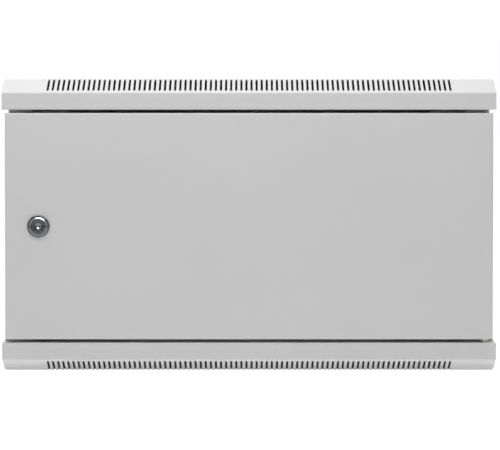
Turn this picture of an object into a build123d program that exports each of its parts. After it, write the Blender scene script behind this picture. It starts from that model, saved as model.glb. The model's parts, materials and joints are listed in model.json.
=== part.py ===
from build123d import *
import math
import os

# Rack cabinet of folded steel sheet, in millimetres: X to the right, Y to the back, Z up.
# The origin is the centre of the flat underside, and the door faces the front, towards -Y.

# Overall sizes
WIDTH = 600.0
DEPTH = 450.0
RACK_UNIT = 44.45
RACK_UNITS = 6
DOOR_OVER_RACK = 8.3
LIP = 20.5
GAP = 4.0
SLOPE_RISE = 16.5
SLOPE_RUN = 26.0

# Sheet metal
SHEET = 1.2
FRAME_SHEET = 1.5
BEND = 2.2

# Slots for air in the sloped edge of each cover
SLOT_PITCH = 6.2
SLOT_WIDTH = 2.7
SLOT_START = 4.8
SLOT_RUNOUT = 6.0
SLOT_MARGIN = 55.1
NOSE_SIDES = 8

# Other features of the covers
RETURN_FLANGE = 18.0
COVER_OVERLAP = 4.5
CABLE_ENTRY_WIDTH = 300.0
CABLE_ENTRY_DEPTH = 60.0
CABLE_ENTRY_FROM_BACK = 75.0
CABLE_COVER_EDGE = 12.0
CABLE_CORNER = 6.0
FAN_BOLT_SPACING = 105.0
FAN_BOLT_RADIUS = 2.25
FAN_BEHIND_FRONT = 185.0
FAN_FIRST_RING = 24.0
FAN_RING_STEP = 13.0
FAN_RINGS = 3
FAN_SLOT = 7.0
FAN_SPOKE = 9.0

# Frame
FRAME_SETBACK = 1.0
POST_WIDTH = 28.5
POST_DEPTH = 28.0
CAM_WINDOW_HALF = 34.0
CAM_WINDOW_DEPTH = 8.5
DEPTH_RAIL_HEIGHT = 30.0
DEPTH_RAIL_FLANGE = 10.0
DEPTH_RAIL_OVERLAP = 12.0
DEPTH_RAIL_INSET = 23.0
SILL_WIDTH = 20.0
SILL_DROP = 0.3
HEADER_HEIGHT = 35.8
HEADER_FLANGE = 9.0

# Rear panel and its wall fixings
REAR_RECESS = 2.0
REAR_PANEL_SHEET = 1.5
REAR_PANEL_MARGIN = 1.0
REAR_SCREW_INSET = 60.0
WALL_SPACING = 420.0
WALL_HOLE_RADIUS = 5.0
KEYHOLE_RADIUS = 8.0
KEYHOLE_NECK_RADIUS = 4.5
KEYHOLE_RISE = 14.0
WALL_FIXING_INSET = 75.0

# Door
DOOR_SIDE_GAP = 3.6
DOOR_THICKNESS = 16.0
DOOR_RETURN = 12.0
STIFFENER_CROWN = 40.0
STIFFENER_FOOT = 12.0
STIFFENER_DEPTH = 10.0
STIFFENER_SHEET = 1.0

# Hinge
HINGE_FROM_EDGE = 8.9
HINGE_BEHIND_FACE = 9.0
PIN_RADIUS = 2.5
PIN_ENGAGE = 12.0
PIN_HEAD_RADIUS = 4.2
PIN_HEAD_HEIGHT = 1.8
WASHER_RADIUS = 4.5
WASHER_PLAY = 0.2
BUSH_RADIUS = 4.0
BUSH_HEIGHT = 9.0
BUSH_FLANGE_RADIUS = 5.5
BUSH_FLANGE_HEIGHT = 1.5
UPPER_PIN_PROUD = 8.0
EAR_FROM_TOP = 38.5
HANDLE_BELOW_EAR = 10.0
HANDLE_RADIUS = 2.0
HANDLE_LENGTH = 17.0
COLLAR_RADIUS = 4.2
COLLAR_HEIGHT = 2.0
SPRING_LENGTH = 22.0
SPRING_WIRE = 0.8
SPRING_RADIUS = 3.4
SPRING_TURNS = 4
BRACKET_PLATE = 18.0

# Cam locks
LOCK_FROM_EDGE = 40.9
LOCK_BEZEL_RADIUS = 13.75
LOCK_BEZEL_PROUD = 1.9
LOCK_BEVEL = 1.3
LOCK_BODY_RADIUS = 9.3
LOCK_RIM_PROUD = 3.4
LOCK_RIM_WIDTH = 0.7
LOCK_DISH = 2.4
LOCK_TAIL_LENGTH = 4.3
PLUG_RADIUS = 5.1
PLUG_PROUD = 0.6
KEYWAY_LENGTH = 6.3
KEYWAY_WIDTH = 1.3
KEYWAY_DEPTH = 4.0
TAIL_SIDE = 6.4
CAM_SHEET = 2.0
CAM_WIDTH = 12.0
CAM_REACH = 28.0
SIDE_CAM_REACH = 32.0
LOCK_NUT_HEIGHT = 4.0
LOCK_NUT_FLATS = 24.0
LOCK_SCREW_HEAD = 5.0
LOCK_SCREW_HEAD_HEIGHT = 1.8
LOCK_SCREW_RADIUS = 2.0
LOCK_SCREW_LENGTH = 5.0

# Side panels
SIDE_PANEL_FLANGE = 12.0
SIDE_PANEL_GAP = 2.0
SIDE_PANEL_HEADROOM = 2.0
TONGUE_WIDTH = 30.0
TONGUE_DROP = 6.0
TONGUE_INSET = 50.0
SIDE_LOCK_FROM_TOP = 22.0

# Rails for the 19-inch equipment
RACK_HOLES_FROM_SIDE = 67.45
RACK_HOLE_INSET = 7.55
RACK_HOLE_SIDE = 9.5
RACK_HOLE_OFFSETS = (6.35, 22.225, 38.1)
RAIL_OVERHANG = 6.0
RAIL_FLANGE = 30.0
RAIL_PLAY = 0.3
FRONT_RAIL_SETBACK = 55.0
REAR_RAIL_SETBACK = 75.0
RAIL_TRAVEL = 60.0

# Fasteners
FASTENER_SIDES = 8
BOLT_RADIUS = 3.0
BOLT_FLATS = 10.0
BOLT_HEAD_HEIGHT = 4.0
NUT_HEIGHT = 5.0
NUT_PLAY = 0.05
BOLT_END = 1.0
BOLT_SLOT_PLAY = 0.3
SCREW_RADIUS = 2.5
SCREW_HEAD_RADIUS = 4.4
SCREW_HEAD_HEIGHT = 1.6
SCREW_LENGTH = 6.0
CAGE_SIDE = 13.0
CAGE_DEPTH = 5.6
CAGE_SHEET = 0.7
CAGE_NUT_SIDE = 10.2
CAGE_THREAD_RADIUS = 2.5
CAGE_PLAY = 0.3
STUD_LENGTH = 16.0
EARTH_FROM_BACK = 90.0
EARTH_FROM_SIDE = 90.0
DOOR_EARTH_FROM_HINGE = 40.0
DOOR_EARTH_HEIGHT = 20.0

# Clearances
RUNNING = 0.1
SCREW_HOLE_PLAY = 0.2
CAM_PLAY = 0.3
OVERCUT = 5.0

# Places worked out from the sizes above
COVER_RISE = SLOPE_RISE + LIP
DOOR_HEIGHT = RACK_UNITS * RACK_UNIT + DOOR_OVER_RACK
HEIGHT = DOOR_HEIGHT + 2 * (COVER_RISE + GAP)
MIDDLE = HEIGHT / 2
FRONT = -DEPTH / 2
BACK = DEPTH / 2
FLOOR = SHEET
CEILING = HEIGHT - SHEET
DOOR_BOTTOM = COVER_RISE + GAP
DOOR_TOP = DOOR_BOTTOM + DOOR_HEIGHT
DOOR_HALF = WIDTH / 2 - DOOR_SIDE_GAP
DOOR_BACK = FRONT + DOOR_THICKNESS
BODY_HALF = WIDTH / 2 - COVER_OVERLAP
POST_INNER = BODY_HALF - POST_WIDTH
POST_FRONT = FRONT + SLOPE_RUN + FRAME_SETBACK
REAR_PANEL_BACK = BACK - REAR_RECESS
REAR_POST_BACK = REAR_PANEL_BACK - REAR_PANEL_SHEET
PANEL_FRONT = POST_FRONT + POST_DEPTH + SIDE_PANEL_GAP
PANEL_BACK = REAR_POST_BACK - POST_DEPTH - SIDE_PANEL_GAP
PANEL_BOTTOM = COVER_RISE + SIDE_PANEL_HEADROOM
PANEL_TOP = HEIGHT - COVER_RISE - SIDE_PANEL_HEADROOM
HINGE_X = DOOR_HALF - HINGE_FROM_EDGE
HINGE_Y = FRONT + HINGE_BEHIND_FACE
FAN_Y = FRONT + FAN_BEHIND_FRONT
CABLE_ENTRY_Y = BACK - CABLE_ENTRY_FROM_BACK
RACK_HOLE_X = WIDTH / 2 - RACK_HOLES_FROM_SIDE
RACK_BOTTOM = MIDDLE - RACK_UNITS * RACK_UNIT / 2
RAIL_OUTER = POST_INNER - FRAME_SHEET - RAIL_PLAY
FRONT_RAIL_Y = FRONT + FRONT_RAIL_SETBACK
REAR_RAIL_Y = BACK - REAR_RAIL_SETBACK
LOWER_RAIL_Z = COVER_RISE + DEPTH_RAIL_INSET
UPPER_RAIL_Z = HEIGHT - LOWER_RAIL_Z - DEPTH_RAIL_HEIGHT
BOLT_HEIGHTS = (LOWER_RAIL_Z + DEPTH_RAIL_HEIGHT / 2, UPPER_RAIL_Z + DEPTH_RAIL_HEIGHT / 2)
EAR_TOP = DOOR_TOP - EAR_FROM_TOP
CAM_DEPTH = POST_FRONT + FRAME_SHEET + CAM_PLAY - FRONT
HEADER_X = BODY_HALF - SIDE_PANEL_FLANGE
SIDE_CAM_DEPTH = SIDE_PANEL_FLANGE + CAM_PLAY
SIDE_LOCK_Y = (PANEL_FRONT + PANEL_BACK) / 2
SIDE_LOCK_Z = PANEL_TOP - SIDE_LOCK_FROM_TOP


def block(x0, x1, y0, y1, z0, z1):
    """A block between two planes along each axis."""
    return Pos((x0 + x1) / 2, (y0 + y1) / 2, (z0 + z1) / 2) * Box(x1 - x0, y1 - y0, z1 - z0)


def bar(start, direction, length, radius):
    """A round bar that starts at a point and runs along a direction."""
    return extrude(Plane(start, z_dir=direction) * Circle(radius), amount=length)


def stem(start, direction, length, radius):
    """The round head or shank of a small fastener, drawn with flats."""
    outline = RegularPolygon(radius, FASTENER_SIDES)
    return extrude(Plane(start, z_dir=direction) * outline, amount=length)


def hexagon(start, direction, length, flats):
    """A hexagonal head or nut, measured across its flats."""
    outline = RegularPolygon(radius=flats / 2, side_count=6, major_radius=False)
    return extrude(Plane(start, z_dir=direction) * outline, amount=length)


def folded(points, thickness, start, length):
    """A folded sheet standing upright: the outer line of its section, and its bottom and length."""
    line = FilletPolyline(*points, radius=[BEND] * (len(points) - 2))
    section = make_face(offset(line, thickness, side=Side.RIGHT))
    return extrude(Plane.XY.offset(start) * section, amount=length)


def other_side(shape):
    """The same piece for the left side."""
    return mirror(shape, Plane.YZ)


def upside_down(shape):
    """The same piece for the top of the cabinet."""
    return mirror(shape, Plane.XY.offset(MIDDLE))


def cover_block(inset):
    """The outer form of a cover, drawn in by inset, with its bends rounded and its slope creased."""
    points = (
        (FRONT, COVER_RISE),
        (FRONT, SLOPE_RISE),
        (FRONT + SLOPE_RUN, 0),
        (BACK, 0),
        (BACK, COVER_RISE),
    )
    outline = make_face(Polyline(*points, close=True))
    if inset:
        outline = offset(outline, amount=-inset, kind=Kind.INTERSECTION)
    form = extrude(Plane.YZ * outline, amount=WIDTH / 2 - inset, both=True)
    crease = FRONT + SLOPE_RUN
    bends = []
    for edge in form.edges().filter_by(Axis.X):
        middle = edge.center()
        on_rear_rim = middle.Z > COVER_RISE / 2 and middle.Y > 0
        on_crease = abs(middle.Y - crease) < SHEET
        if not (on_rear_rim or on_crease):
            bends.append(edge)
    for edge in form.edges().filter_by(Axis.Y):
        if edge.center().Z < COVER_RISE / 2:
            bends.append(edge)
    return fillet(bends, BEND - inset)


def air_slots():
    """Cutters for the slots, which start above the front bend and run off over the crease."""
    slope = math.hypot(SLOPE_RUN, SLOPE_RISE)
    along = (SLOPE_RUN / slope, -SLOPE_RISE / slope)
    start = SLOT_START + SLOT_WIDTH / 2
    nose_y = FRONT + start * along[0]
    nose_z = SLOPE_RISE + start * along[1]
    crease_y = FRONT + SLOPE_RUN
    reach = 2 * SHEET
    band_points = (
        (nose_y + reach * along[1], nose_z - reach * along[0]),
        (crease_y, -reach),
        (crease_y + SLOT_RUNOUT, -reach),
        (crease_y + SLOT_RUNOUT, reach),
        (crease_y, reach),
        (nose_y - reach * along[1], nose_z + reach * along[0]),
    )
    band_outline = make_face(Polyline(*band_points, close=True))
    band = extrude(Plane.YZ * band_outline, amount=SLOT_WIDTH / 2, both=True)
    nose_plane = Plane((0, nose_y, nose_z), x_dir=(1, 0, 0), z_dir=(0, -along[1], along[0]))
    half_turn = 180 / NOSE_SIDES
    nose_outline = RegularPolygon(SLOT_WIDTH / 2, NOSE_SIDES, major_radius=False, rotation=half_turn)
    nose = extrude(nose_plane * nose_outline, amount=reach, both=True)
    cutter = band + nose
    span = WIDTH - 2 * SLOT_MARGIN
    count = round(span / SLOT_PITCH) + 1
    first = -(count - 1) * SLOT_PITCH / 2
    return [Pos(first + i * SLOT_PITCH, 0, 0) * cutter for i in range(count)]


def cable_screw_places():
    """Where the four screws of a cable entry plate stand."""
    x = CABLE_ENTRY_WIDTH / 2 - CABLE_COVER_EDGE
    y = CABLE_ENTRY_DEPTH / 2 + CABLE_COVER_EDGE / 2
    return [(sx * x, CABLE_ENTRY_Y + sy * y) for sx in (-1, 1) for sy in (-1, 1)]


def plain_cover():
    """The bottom cover: slotted slope, lip with its return flange, side walls and rear flange."""
    inside = block(
        SHEET - WIDTH / 2, WIDTH / 2 - SHEET,
        FRONT + RETURN_FLANGE, BACK - SHEET,
        COVER_RISE - 2 * SHEET, COVER_RISE + OVERCUT,
    )
    cover = cover_block(0) - cover_block(SHEET) - inside - air_slots()
    entry_outline = RectangleRounded(CABLE_ENTRY_WIDTH, CABLE_ENTRY_DEPTH, CABLE_CORNER)
    cover -= extrude(Pos(0, CABLE_ENTRY_Y, 0) * entry_outline, amount=2 * SHEET)
    for x, y in cable_screw_places():
        cover -= stem((x, y, 0), (0, 0, 1), 2 * SHEET, SCREW_RADIUS + SCREW_HOLE_PLAY)
    for x in (-HINGE_X, HINGE_X):
        hole_bottom = COVER_RISE - 2 * SHEET
        cover -= bar((x, HINGE_Y, hole_bottom), (0, 0, 1), 3 * SHEET, PIN_RADIUS + RUNNING)
    return cover


def fan_grille():
    """Cutters for the finger guard of a fan, rings cut by spokes, with its four bolt holes."""
    centre = Pos(0, FAN_Y, CEILING - SHEET)
    rings = Sketch()
    for i in range(FAN_RINGS):
        radius = FAN_FIRST_RING + i * FAN_RING_STEP
        rings += Circle(radius + FAN_SLOT / 2) - Circle(radius - FAN_SLOT / 2)
    reach = 2 * (FAN_FIRST_RING + FAN_RINGS * FAN_RING_STEP)
    for angle in (45, 135):
        rings -= Rot(0, 0, angle) * Rectangle(reach, FAN_SPOKE)
    cutters = [extrude(centre * rings, amount=3 * SHEET)]
    half = FAN_BOLT_SPACING / 2
    for x in (-half, half):
        for y in (-half, half):
            cutters.append(bar((x, FAN_Y + y, CEILING - SHEET), (0, 0, 1), 3 * SHEET, FAN_BOLT_RADIUS))
    return cutters


def cable_cover():
    """The plate that closes the cable entry from inside."""
    width = CABLE_ENTRY_WIDTH + 2 * CABLE_COVER_EDGE
    depth = CABLE_ENTRY_DEPTH + 2 * CABLE_COVER_EDGE
    outline = RectangleRounded(width, depth, CABLE_CORNER)
    plate = extrude(Pos(0, CABLE_ENTRY_Y, FLOOR) * outline, amount=SHEET)
    for x, y in cable_screw_places():
        plate -= stem((x, y, 0), (0, 0, 1), 3 * SHEET, SCREW_RADIUS + SCREW_HOLE_PLAY)
    return plate


def screw(start, direction, length):
    """A low round-headed screw: start is the face that its head rests on."""
    away = (-direction[0], -direction[1], -direction[2])
    head = stem(start, away, SCREW_HEAD_HEIGHT, SCREW_HEAD_RADIUS)
    return head + stem(start, direction, length, SCREW_RADIUS)


def cable_screws():
    """The four screws of the cable entry plate, heads inside and ends flush with the underside."""
    return Compound([screw((x, y, FLOOR + SHEET), (0, 0, -1), 2 * SHEET) for x, y in cable_screw_places()])


def post(front_y):
    """A right-hand corner post of channel section, open to the back."""
    points = (
        (POST_INNER, front_y + POST_DEPTH),
        (POST_INNER, front_y),
        (BODY_HALF, front_y),
        (BODY_HALF, front_y + POST_DEPTH),
    )
    return folded(points[::-1], FRAME_SHEET, FLOOR, CEILING - FLOOR)


def front_post():
    """A front post, with a window in its inner wall where the lock's cam swings in."""
    web = POST_INNER + FRAME_SHEET
    slot_front = POST_FRONT + FRAME_SHEET
    window = block(
        POST_INNER - OVERCUT, web + BEND,
        slot_front, slot_front + CAM_WINDOW_DEPTH,
        MIDDLE - CAM_WINDOW_HALF, MIDDLE + CAM_WINDOW_HALF,
    )
    return post(POST_FRONT) - window


def rear_screw_places():
    """Where the rear panel is screwed to the rear posts."""
    x = (POST_INNER + BODY_HALF) / 2
    heights = (REAR_SCREW_INSET, MIDDLE, HEIGHT - REAR_SCREW_INSET)
    return [(side * x, z) for side in (-1, 1) for z in heights]


def rear_post():
    """A rear post: the front one turned about, without the window, with the panel's screw holes."""
    turned = mirror(post(-REAR_POST_BACK), Plane.XZ)
    for x, z in rear_screw_places():
        if x > 0:
            hole_y = REAR_POST_BACK - 2 * FRAME_SHEET
            turned -= stem((x, hole_y, z), (0, 1, 0), 3 * FRAME_SHEET, SCREW_RADIUS + SCREW_HOLE_PLAY)
    return turned


def bolt_travel(y, toward):
    """The reach of a rail's bolt along the depth rail, as its two ends."""
    ends = (y, y + toward * RAIL_TRAVEL)
    return min(ends), max(ends)


def rail_bolt_y(rail_y, toward):
    """Where the bolts pass through the side flange of a rack rail."""
    return rail_y + toward * RAIL_FLANGE / 2


def depth_rail(bottom):
    """A right-hand rail between the posts, slotted for the bolts of the rack rails."""
    top = bottom + DEPTH_RAIL_HEIGHT
    inner = POST_INNER - FRAME_SHEET
    front = POST_FRONT + POST_DEPTH
    back = REAR_POST_BACK - POST_DEPTH
    rail = block(inner, POST_INNER, front - DEPTH_RAIL_OVERLAP, back + DEPTH_RAIL_OVERLAP, bottom, top)
    for z in (bottom, top - FRAME_SHEET):
        flange_end = POST_INNER + DEPTH_RAIL_FLANGE
        rail += block(inner, flange_end, front + SIDE_PANEL_GAP, back - SIDE_PANEL_GAP, z, z + FRAME_SHEET)
    radius = BOLT_RADIUS + BOLT_SLOT_PLAY
    for rail_y, toward in ((FRONT_RAIL_Y, 1), (REAR_RAIL_Y, -1)):
        start, end = bolt_travel(rail_bolt_y(rail_y, toward), toward)
        outline = SlotCenterToCenter(end - start, 2 * radius)
        centre = (inner - OVERCUT, (start + end) / 2, (bottom + top) / 2)
        plane = Plane(centre, x_dir=(0, 1, 0), z_dir=(1, 0, 0))
        rail -= extrude(plane * outline, amount=2 * OVERCUT + FRAME_SHEET)
    return rail


def along_side(line, side):
    """A strip of sheet folded along a line, as long as the side panel."""
    section = make_face(offset(line, SHEET, side=side))
    end = Plane((0, PANEL_BACK, 0), x_dir=(1, 0, 0), z_dir=(0, -1, 0))
    return extrude(end * section, amount=PANEL_BACK - PANEL_FRONT)


def side_sill():
    """The right-hand sill that carries the side panel's bottom flange."""
    top = PANEL_BOTTOM - SILL_DROP
    outer = BODY_HALF - COVER_OVERLAP - RUNNING
    inner = outer - SILL_WIDTH
    return along_side(FilletPolyline((outer, top), (inner, top), (inner, FLOOR), radius=[BEND]), Side.LEFT)


def side_header():
    """The right-hand strip under the top cover that the side lock's cam catches behind."""
    bottom = CEILING - HEADER_HEIGHT
    flange_end = HEADER_X + HEADER_FLANGE
    points = ((HEADER_X, bottom), (HEADER_X, CEILING), (flange_end, CEILING))
    return along_side(FilletPolyline(*points, radius=[BEND]), Side.RIGHT)


def rear_panel():
    """The rear panel with keyholes above and round holes below for hanging it on a wall."""
    panel = block(
        -BODY_HALF, BODY_HALF,
        REAR_POST_BACK, REAR_PANEL_BACK,
        FLOOR + REAR_PANEL_MARGIN, CEILING - REAR_PANEL_MARGIN,
    )
    start = REAR_POST_BACK - OVERCUT
    through = REAR_PANEL_SHEET + 2 * OVERCUT
    for x, z in rear_screw_places():
        panel -= stem((x, start, z), (0, 1, 0), through, SCREW_RADIUS + SCREW_HOLE_PLAY)
    neck_z = HEIGHT - WALL_FIXING_INSET
    for x in (-WALL_SPACING / 2, WALL_SPACING / 2):
        panel -= bar((x, start, WALL_FIXING_INSET), (0, 1, 0), through, WALL_HOLE_RADIUS)
        panel -= bar((x, start, neck_z - KEYHOLE_RISE), (0, 1, 0), through, KEYHOLE_RADIUS)
        panel -= bar((x, start, neck_z), (0, 1, 0), through, KEYHOLE_NECK_RADIUS)
        neck_half = KEYHOLE_NECK_RADIUS
        panel -= block(x - neck_half, x + neck_half, start, start + through, neck_z - KEYHOLE_RISE, neck_z)
    return panel


def rear_screws():
    """The screws that hold the rear panel, their heads within the covers' depth."""
    places = rear_screw_places()
    return Compound([screw((x, REAR_PANEL_BACK, z), (0, -1, 0), SCREW_LENGTH) for x, z in places])


def small_nut(start, direction):
    """A nut for a rail bolt or an earth stud."""
    hole = stem(start, direction, NUT_HEIGHT, BOLT_RADIUS + NUT_PLAY)
    return hexagon(start, direction, NUT_HEIGHT, BOLT_FLATS) - hole


def lower_hinge_pin():
    """The fixed pin riveted to the bottom cover's return flange."""
    head_bottom = COVER_RISE - SHEET - PIN_HEAD_HEIGHT
    start = (HINGE_X, HINGE_Y, head_bottom)
    head = bar(start, (0, 0, 1), PIN_HEAD_HEIGHT, PIN_HEAD_RADIUS)
    shank = bar(start, (0, 0, 1), DOOR_BOTTOM + PIN_ENGAGE - head_bottom, PIN_RADIUS)
    shank = chamfer(shank.edges().sort_by(Axis.Z)[-1], PIN_RADIUS / 4)
    return head + shank


def hinge_washer():
    """The nylon washer that carries the door in the gap above the bottom cover."""
    start = (HINGE_X, HINGE_Y, COVER_RISE)
    height = GAP - WASHER_PLAY
    hole = bar(start, (0, 0, 1), height, PIN_RADIUS + RUNNING)
    return bar(start, (0, 0, 1), height, WASHER_RADIUS) - hole


def lower_hinge_bush():
    """The flanged bush that lines the hinge hole in the door's bottom wall."""
    start = (HINGE_X, HINGE_Y, DOOR_BOTTOM)
    body = bar(start, (0, 0, 1), BUSH_HEIGHT, BUSH_RADIUS)
    flange_start = (HINGE_X, HINGE_Y, DOOR_BOTTOM + SHEET)
    flange = bar(flange_start, (0, 0, 1), BUSH_FLANGE_HEIGHT, BUSH_FLANGE_RADIUS)
    return body + flange - bar(start, (0, 0, 1), BUSH_HEIGHT, PIN_RADIUS + RUNNING)


def upper_hinge_bracket():
    """The bracket inside the door that guides the sprung pin on its lower ear."""
    wall = FRONT + SHEET
    right = DOOR_HALF - BEND - RUNNING
    left = right - BRACKET_PLATE
    ear_bottom = EAR_TOP - FRAME_SHEET
    plate_top = DOOR_TOP - BEND - RUNNING
    plate = block(left, right, wall, wall + FRAME_SHEET, ear_bottom - HANDLE_BELOW_EAR, plate_top)
    ear = block(left, right, wall, DOOR_BACK - SHEET - RUNNING, ear_bottom, EAR_TOP)
    hole = bar((HINGE_X, HINGE_Y, ear_bottom - OVERCUT), (0, 0, 1), 2 * OVERCUT, PIN_RADIUS + RUNNING)
    return plate + ear - hole


def upper_hinge_pin():
    """The sprung pin that reaches into the top cover, with its collar and pull handle."""
    handle_z = EAR_TOP - FRAME_SHEET - HANDLE_BELOW_EAR
    bottom = handle_z - 2 * HANDLE_RADIUS
    top = DOOR_TOP + UPPER_PIN_PROUD
    shank = bar((HINGE_X, HINGE_Y, bottom), (0, 0, 1), top - bottom, PIN_RADIUS)
    shank = chamfer(shank.edges().sort_by(Axis.Z)[-1], PIN_RADIUS / 4)
    collar = bar((HINGE_X, HINGE_Y, EAR_TOP + SPRING_LENGTH), (0, 0, 1), COLLAR_HEIGHT, COLLAR_RADIUS)
    handle = bar((HINGE_X, HINGE_Y, handle_z), (-1, 0, 0), HANDLE_LENGTH, HANDLE_RADIUS)
    return shank + collar + handle


def hinge_spring():
    """The coil spring between the bracket's ear and the pin's collar."""
    rise = SPRING_LENGTH - SPRING_WIRE - 2 * RUNNING
    path = Helix(pitch=rise / SPRING_TURNS, height=rise, radius=SPRING_RADIUS)
    start = Plane((SPRING_RADIUS, 0, 0), x_dir=(1, 0, 0), z_dir=(0, 1, 0))
    coil = sweep(start * Rectangle(SPRING_WIRE, SPRING_WIRE), path=path, is_frenet=True)
    return Pos(HINGE_X, HINGE_Y, EAR_TOP + RUNNING + SPRING_WIRE / 2) * coil


def door_panel():
    """The door: a pan of sheet with its edges folded back and in, and holes for lock and hinge."""
    outer = block(-DOOR_HALF, DOOR_HALF, FRONT, DOOR_BACK, DOOR_BOTTOM, DOOR_TOP)
    outer = fillet(outer.faces().sort_by(Axis.Y)[0].edges(), BEND)
    inner = block(
        SHEET - DOOR_HALF, DOOR_HALF - SHEET,
        FRONT + SHEET, DOOR_BACK - SHEET,
        DOOR_BOTTOM + SHEET, DOOR_TOP - SHEET,
    )
    inner = fillet(inner.faces().sort_by(Axis.Y)[0].edges(), BEND - SHEET)
    opening = block(
        DOOR_RETURN - DOOR_HALF, DOOR_HALF - DOOR_RETURN,
        DOOR_BACK - 2 * SHEET, DOOR_BACK + OVERCUT,
        DOOR_BOTTOM + DOOR_RETURN, DOOR_TOP - DOOR_RETURN,
    )
    panel = outer - inner - opening
    lock = (LOCK_FROM_EDGE - DOOR_HALF, FRONT - OVERCUT, MIDDLE)
    panel -= bar(lock, (0, 1, 0), 2 * OVERCUT, LOCK_BODY_RADIUS + RUNNING)
    lower_hinge = (HINGE_X, HINGE_Y, DOOR_BOTTOM - OVERCUT)
    panel -= bar(lower_hinge, (0, 0, 1), 2 * OVERCUT, BUSH_RADIUS + RUNNING)
    upper_hinge = (HINGE_X, HINGE_Y, DOOR_TOP - OVERCUT)
    panel -= bar(upper_hinge, (0, 0, 1), 2 * OVERCUT, PIN_RADIUS + RUNNING)
    return panel


def door_stiffener():
    """The hat-shaped stiffener that is spot-welded up the middle of the door."""
    face = FRONT + SHEET
    crown = STIFFENER_CROWN / 2
    foot = crown + STIFFENER_FOOT
    points = (
        (-foot, face),
        (-crown, face),
        (-crown, face + STIFFENER_DEPTH),
        (crown, face + STIFFENER_DEPTH),
        (crown, face),
        (foot, face),
    )
    length = DOOR_HEIGHT - 2 * DOOR_RETURN
    return folded(points[::-1], STIFFENER_SHEET, DOOR_BOTTOM + DOOR_RETURN, length)


def lock_housing(cam_depth):
    """A lock's housing: bevelled bezel, dished rim and threaded body. Z points out of the panel."""
    body_end = -(cam_depth - LOCK_TAIL_LENGTH)
    rim_inner = LOCK_BODY_RADIUS - LOCK_RIM_WIDTH
    bore = PLUG_RADIUS + RUNNING
    points = (
        (bore, body_end),
        (bore, LOCK_RIM_PROUD - LOCK_DISH),
        (rim_inner, LOCK_RIM_PROUD),
        (LOCK_BODY_RADIUS, LOCK_RIM_PROUD),
        (LOCK_BODY_RADIUS, LOCK_BEZEL_PROUD),
        (LOCK_BEZEL_RADIUS - LOCK_BEVEL, LOCK_BEZEL_PROUD),
        (LOCK_BEZEL_RADIUS, LOCK_BEZEL_PROUD - LOCK_BEVEL),
        (LOCK_BEZEL_RADIUS, 0),
        (LOCK_BODY_RADIUS, 0),
        (LOCK_BODY_RADIUS, body_end),
    )
    return revolve(Plane.XZ * make_face(Polyline(*points, close=True)), Axis.Z)


def lock_nut():
    """The nut that clamps a lock's housing behind the panel."""
    start = (0, 0, -SHEET)
    hole = bar(start, (0, 0, -1), LOCK_NUT_HEIGHT, LOCK_BODY_RADIUS + RUNNING)
    return hexagon(start, (0, 0, -1), LOCK_NUT_HEIGHT, LOCK_NUT_FLATS) - hole


def lock_plug(cam_depth):
    """The plug that the key turns: round with a keyway, and a square tail for the cam."""
    front = LOCK_RIM_PROUD - LOCK_DISH + PLUG_PROUD
    body_end = -(cam_depth - LOCK_TAIL_LENGTH)
    plug = bar((0, 0, body_end), (0, 0, 1), front - body_end, PLUG_RADIUS)
    tail_end = -(cam_depth + CAM_SHEET)
    half = TAIL_SIDE / 2
    plug += block(-half, half, -half, half, tail_end, body_end)
    keyway = SlotOverall(KEYWAY_LENGTH, KEYWAY_WIDTH)
    plug -= extrude(Pos(0, 0, front - KEYWAY_DEPTH) * keyway, amount=KEYWAY_DEPTH)
    plug -= bar((0, 0, tail_end), (0, 0, 1), LOCK_SCREW_LENGTH + BOLT_END, LOCK_SCREW_RADIUS + RUNNING)
    return plug


def lock_cam(cam_depth, reach):
    """The cam on the plug's square tail, hanging down when the lock is open."""
    straight = reach - CAM_WIDTH / 2
    outline = Pos(0, -straight / 2) * Rot(0, 0, 90) * SlotCenterToCenter(straight, CAM_WIDTH)
    hole_side = TAIL_SIDE + 2 * RUNNING
    outline -= Rectangle(hole_side, hole_side)
    return extrude(Pos(0, 0, -(cam_depth + CAM_SHEET)) * outline, amount=CAM_SHEET)


def lock_screw(cam_depth):
    """The screw that holds the cam on the tail."""
    start = (0, 0, -(cam_depth + CAM_SHEET))
    head = stem(start, (0, 0, -1), LOCK_SCREW_HEAD_HEIGHT, LOCK_SCREW_HEAD)
    return head + stem(start, (0, 0, 1), LOCK_SCREW_LENGTH, LOCK_SCREW_RADIUS)


def lock_parts(prefix, plane, cam_depth, reach, turn):
    """One complete lock, set on its panel; turn is where its cam points, from straight down."""
    fixed = plane.location
    turned = plane.location * Rot(0, 0, turn)
    return {
        prefix + "lock_housing": fixed * lock_housing(cam_depth),
        prefix + "lock_nut": fixed * lock_nut(),
        prefix + "lock_plug": turned * lock_plug(cam_depth),
        prefix + "lock_cam": turned * lock_cam(cam_depth, reach),
        prefix + "lock_screw": turned * lock_screw(cam_depth),
    }


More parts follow.
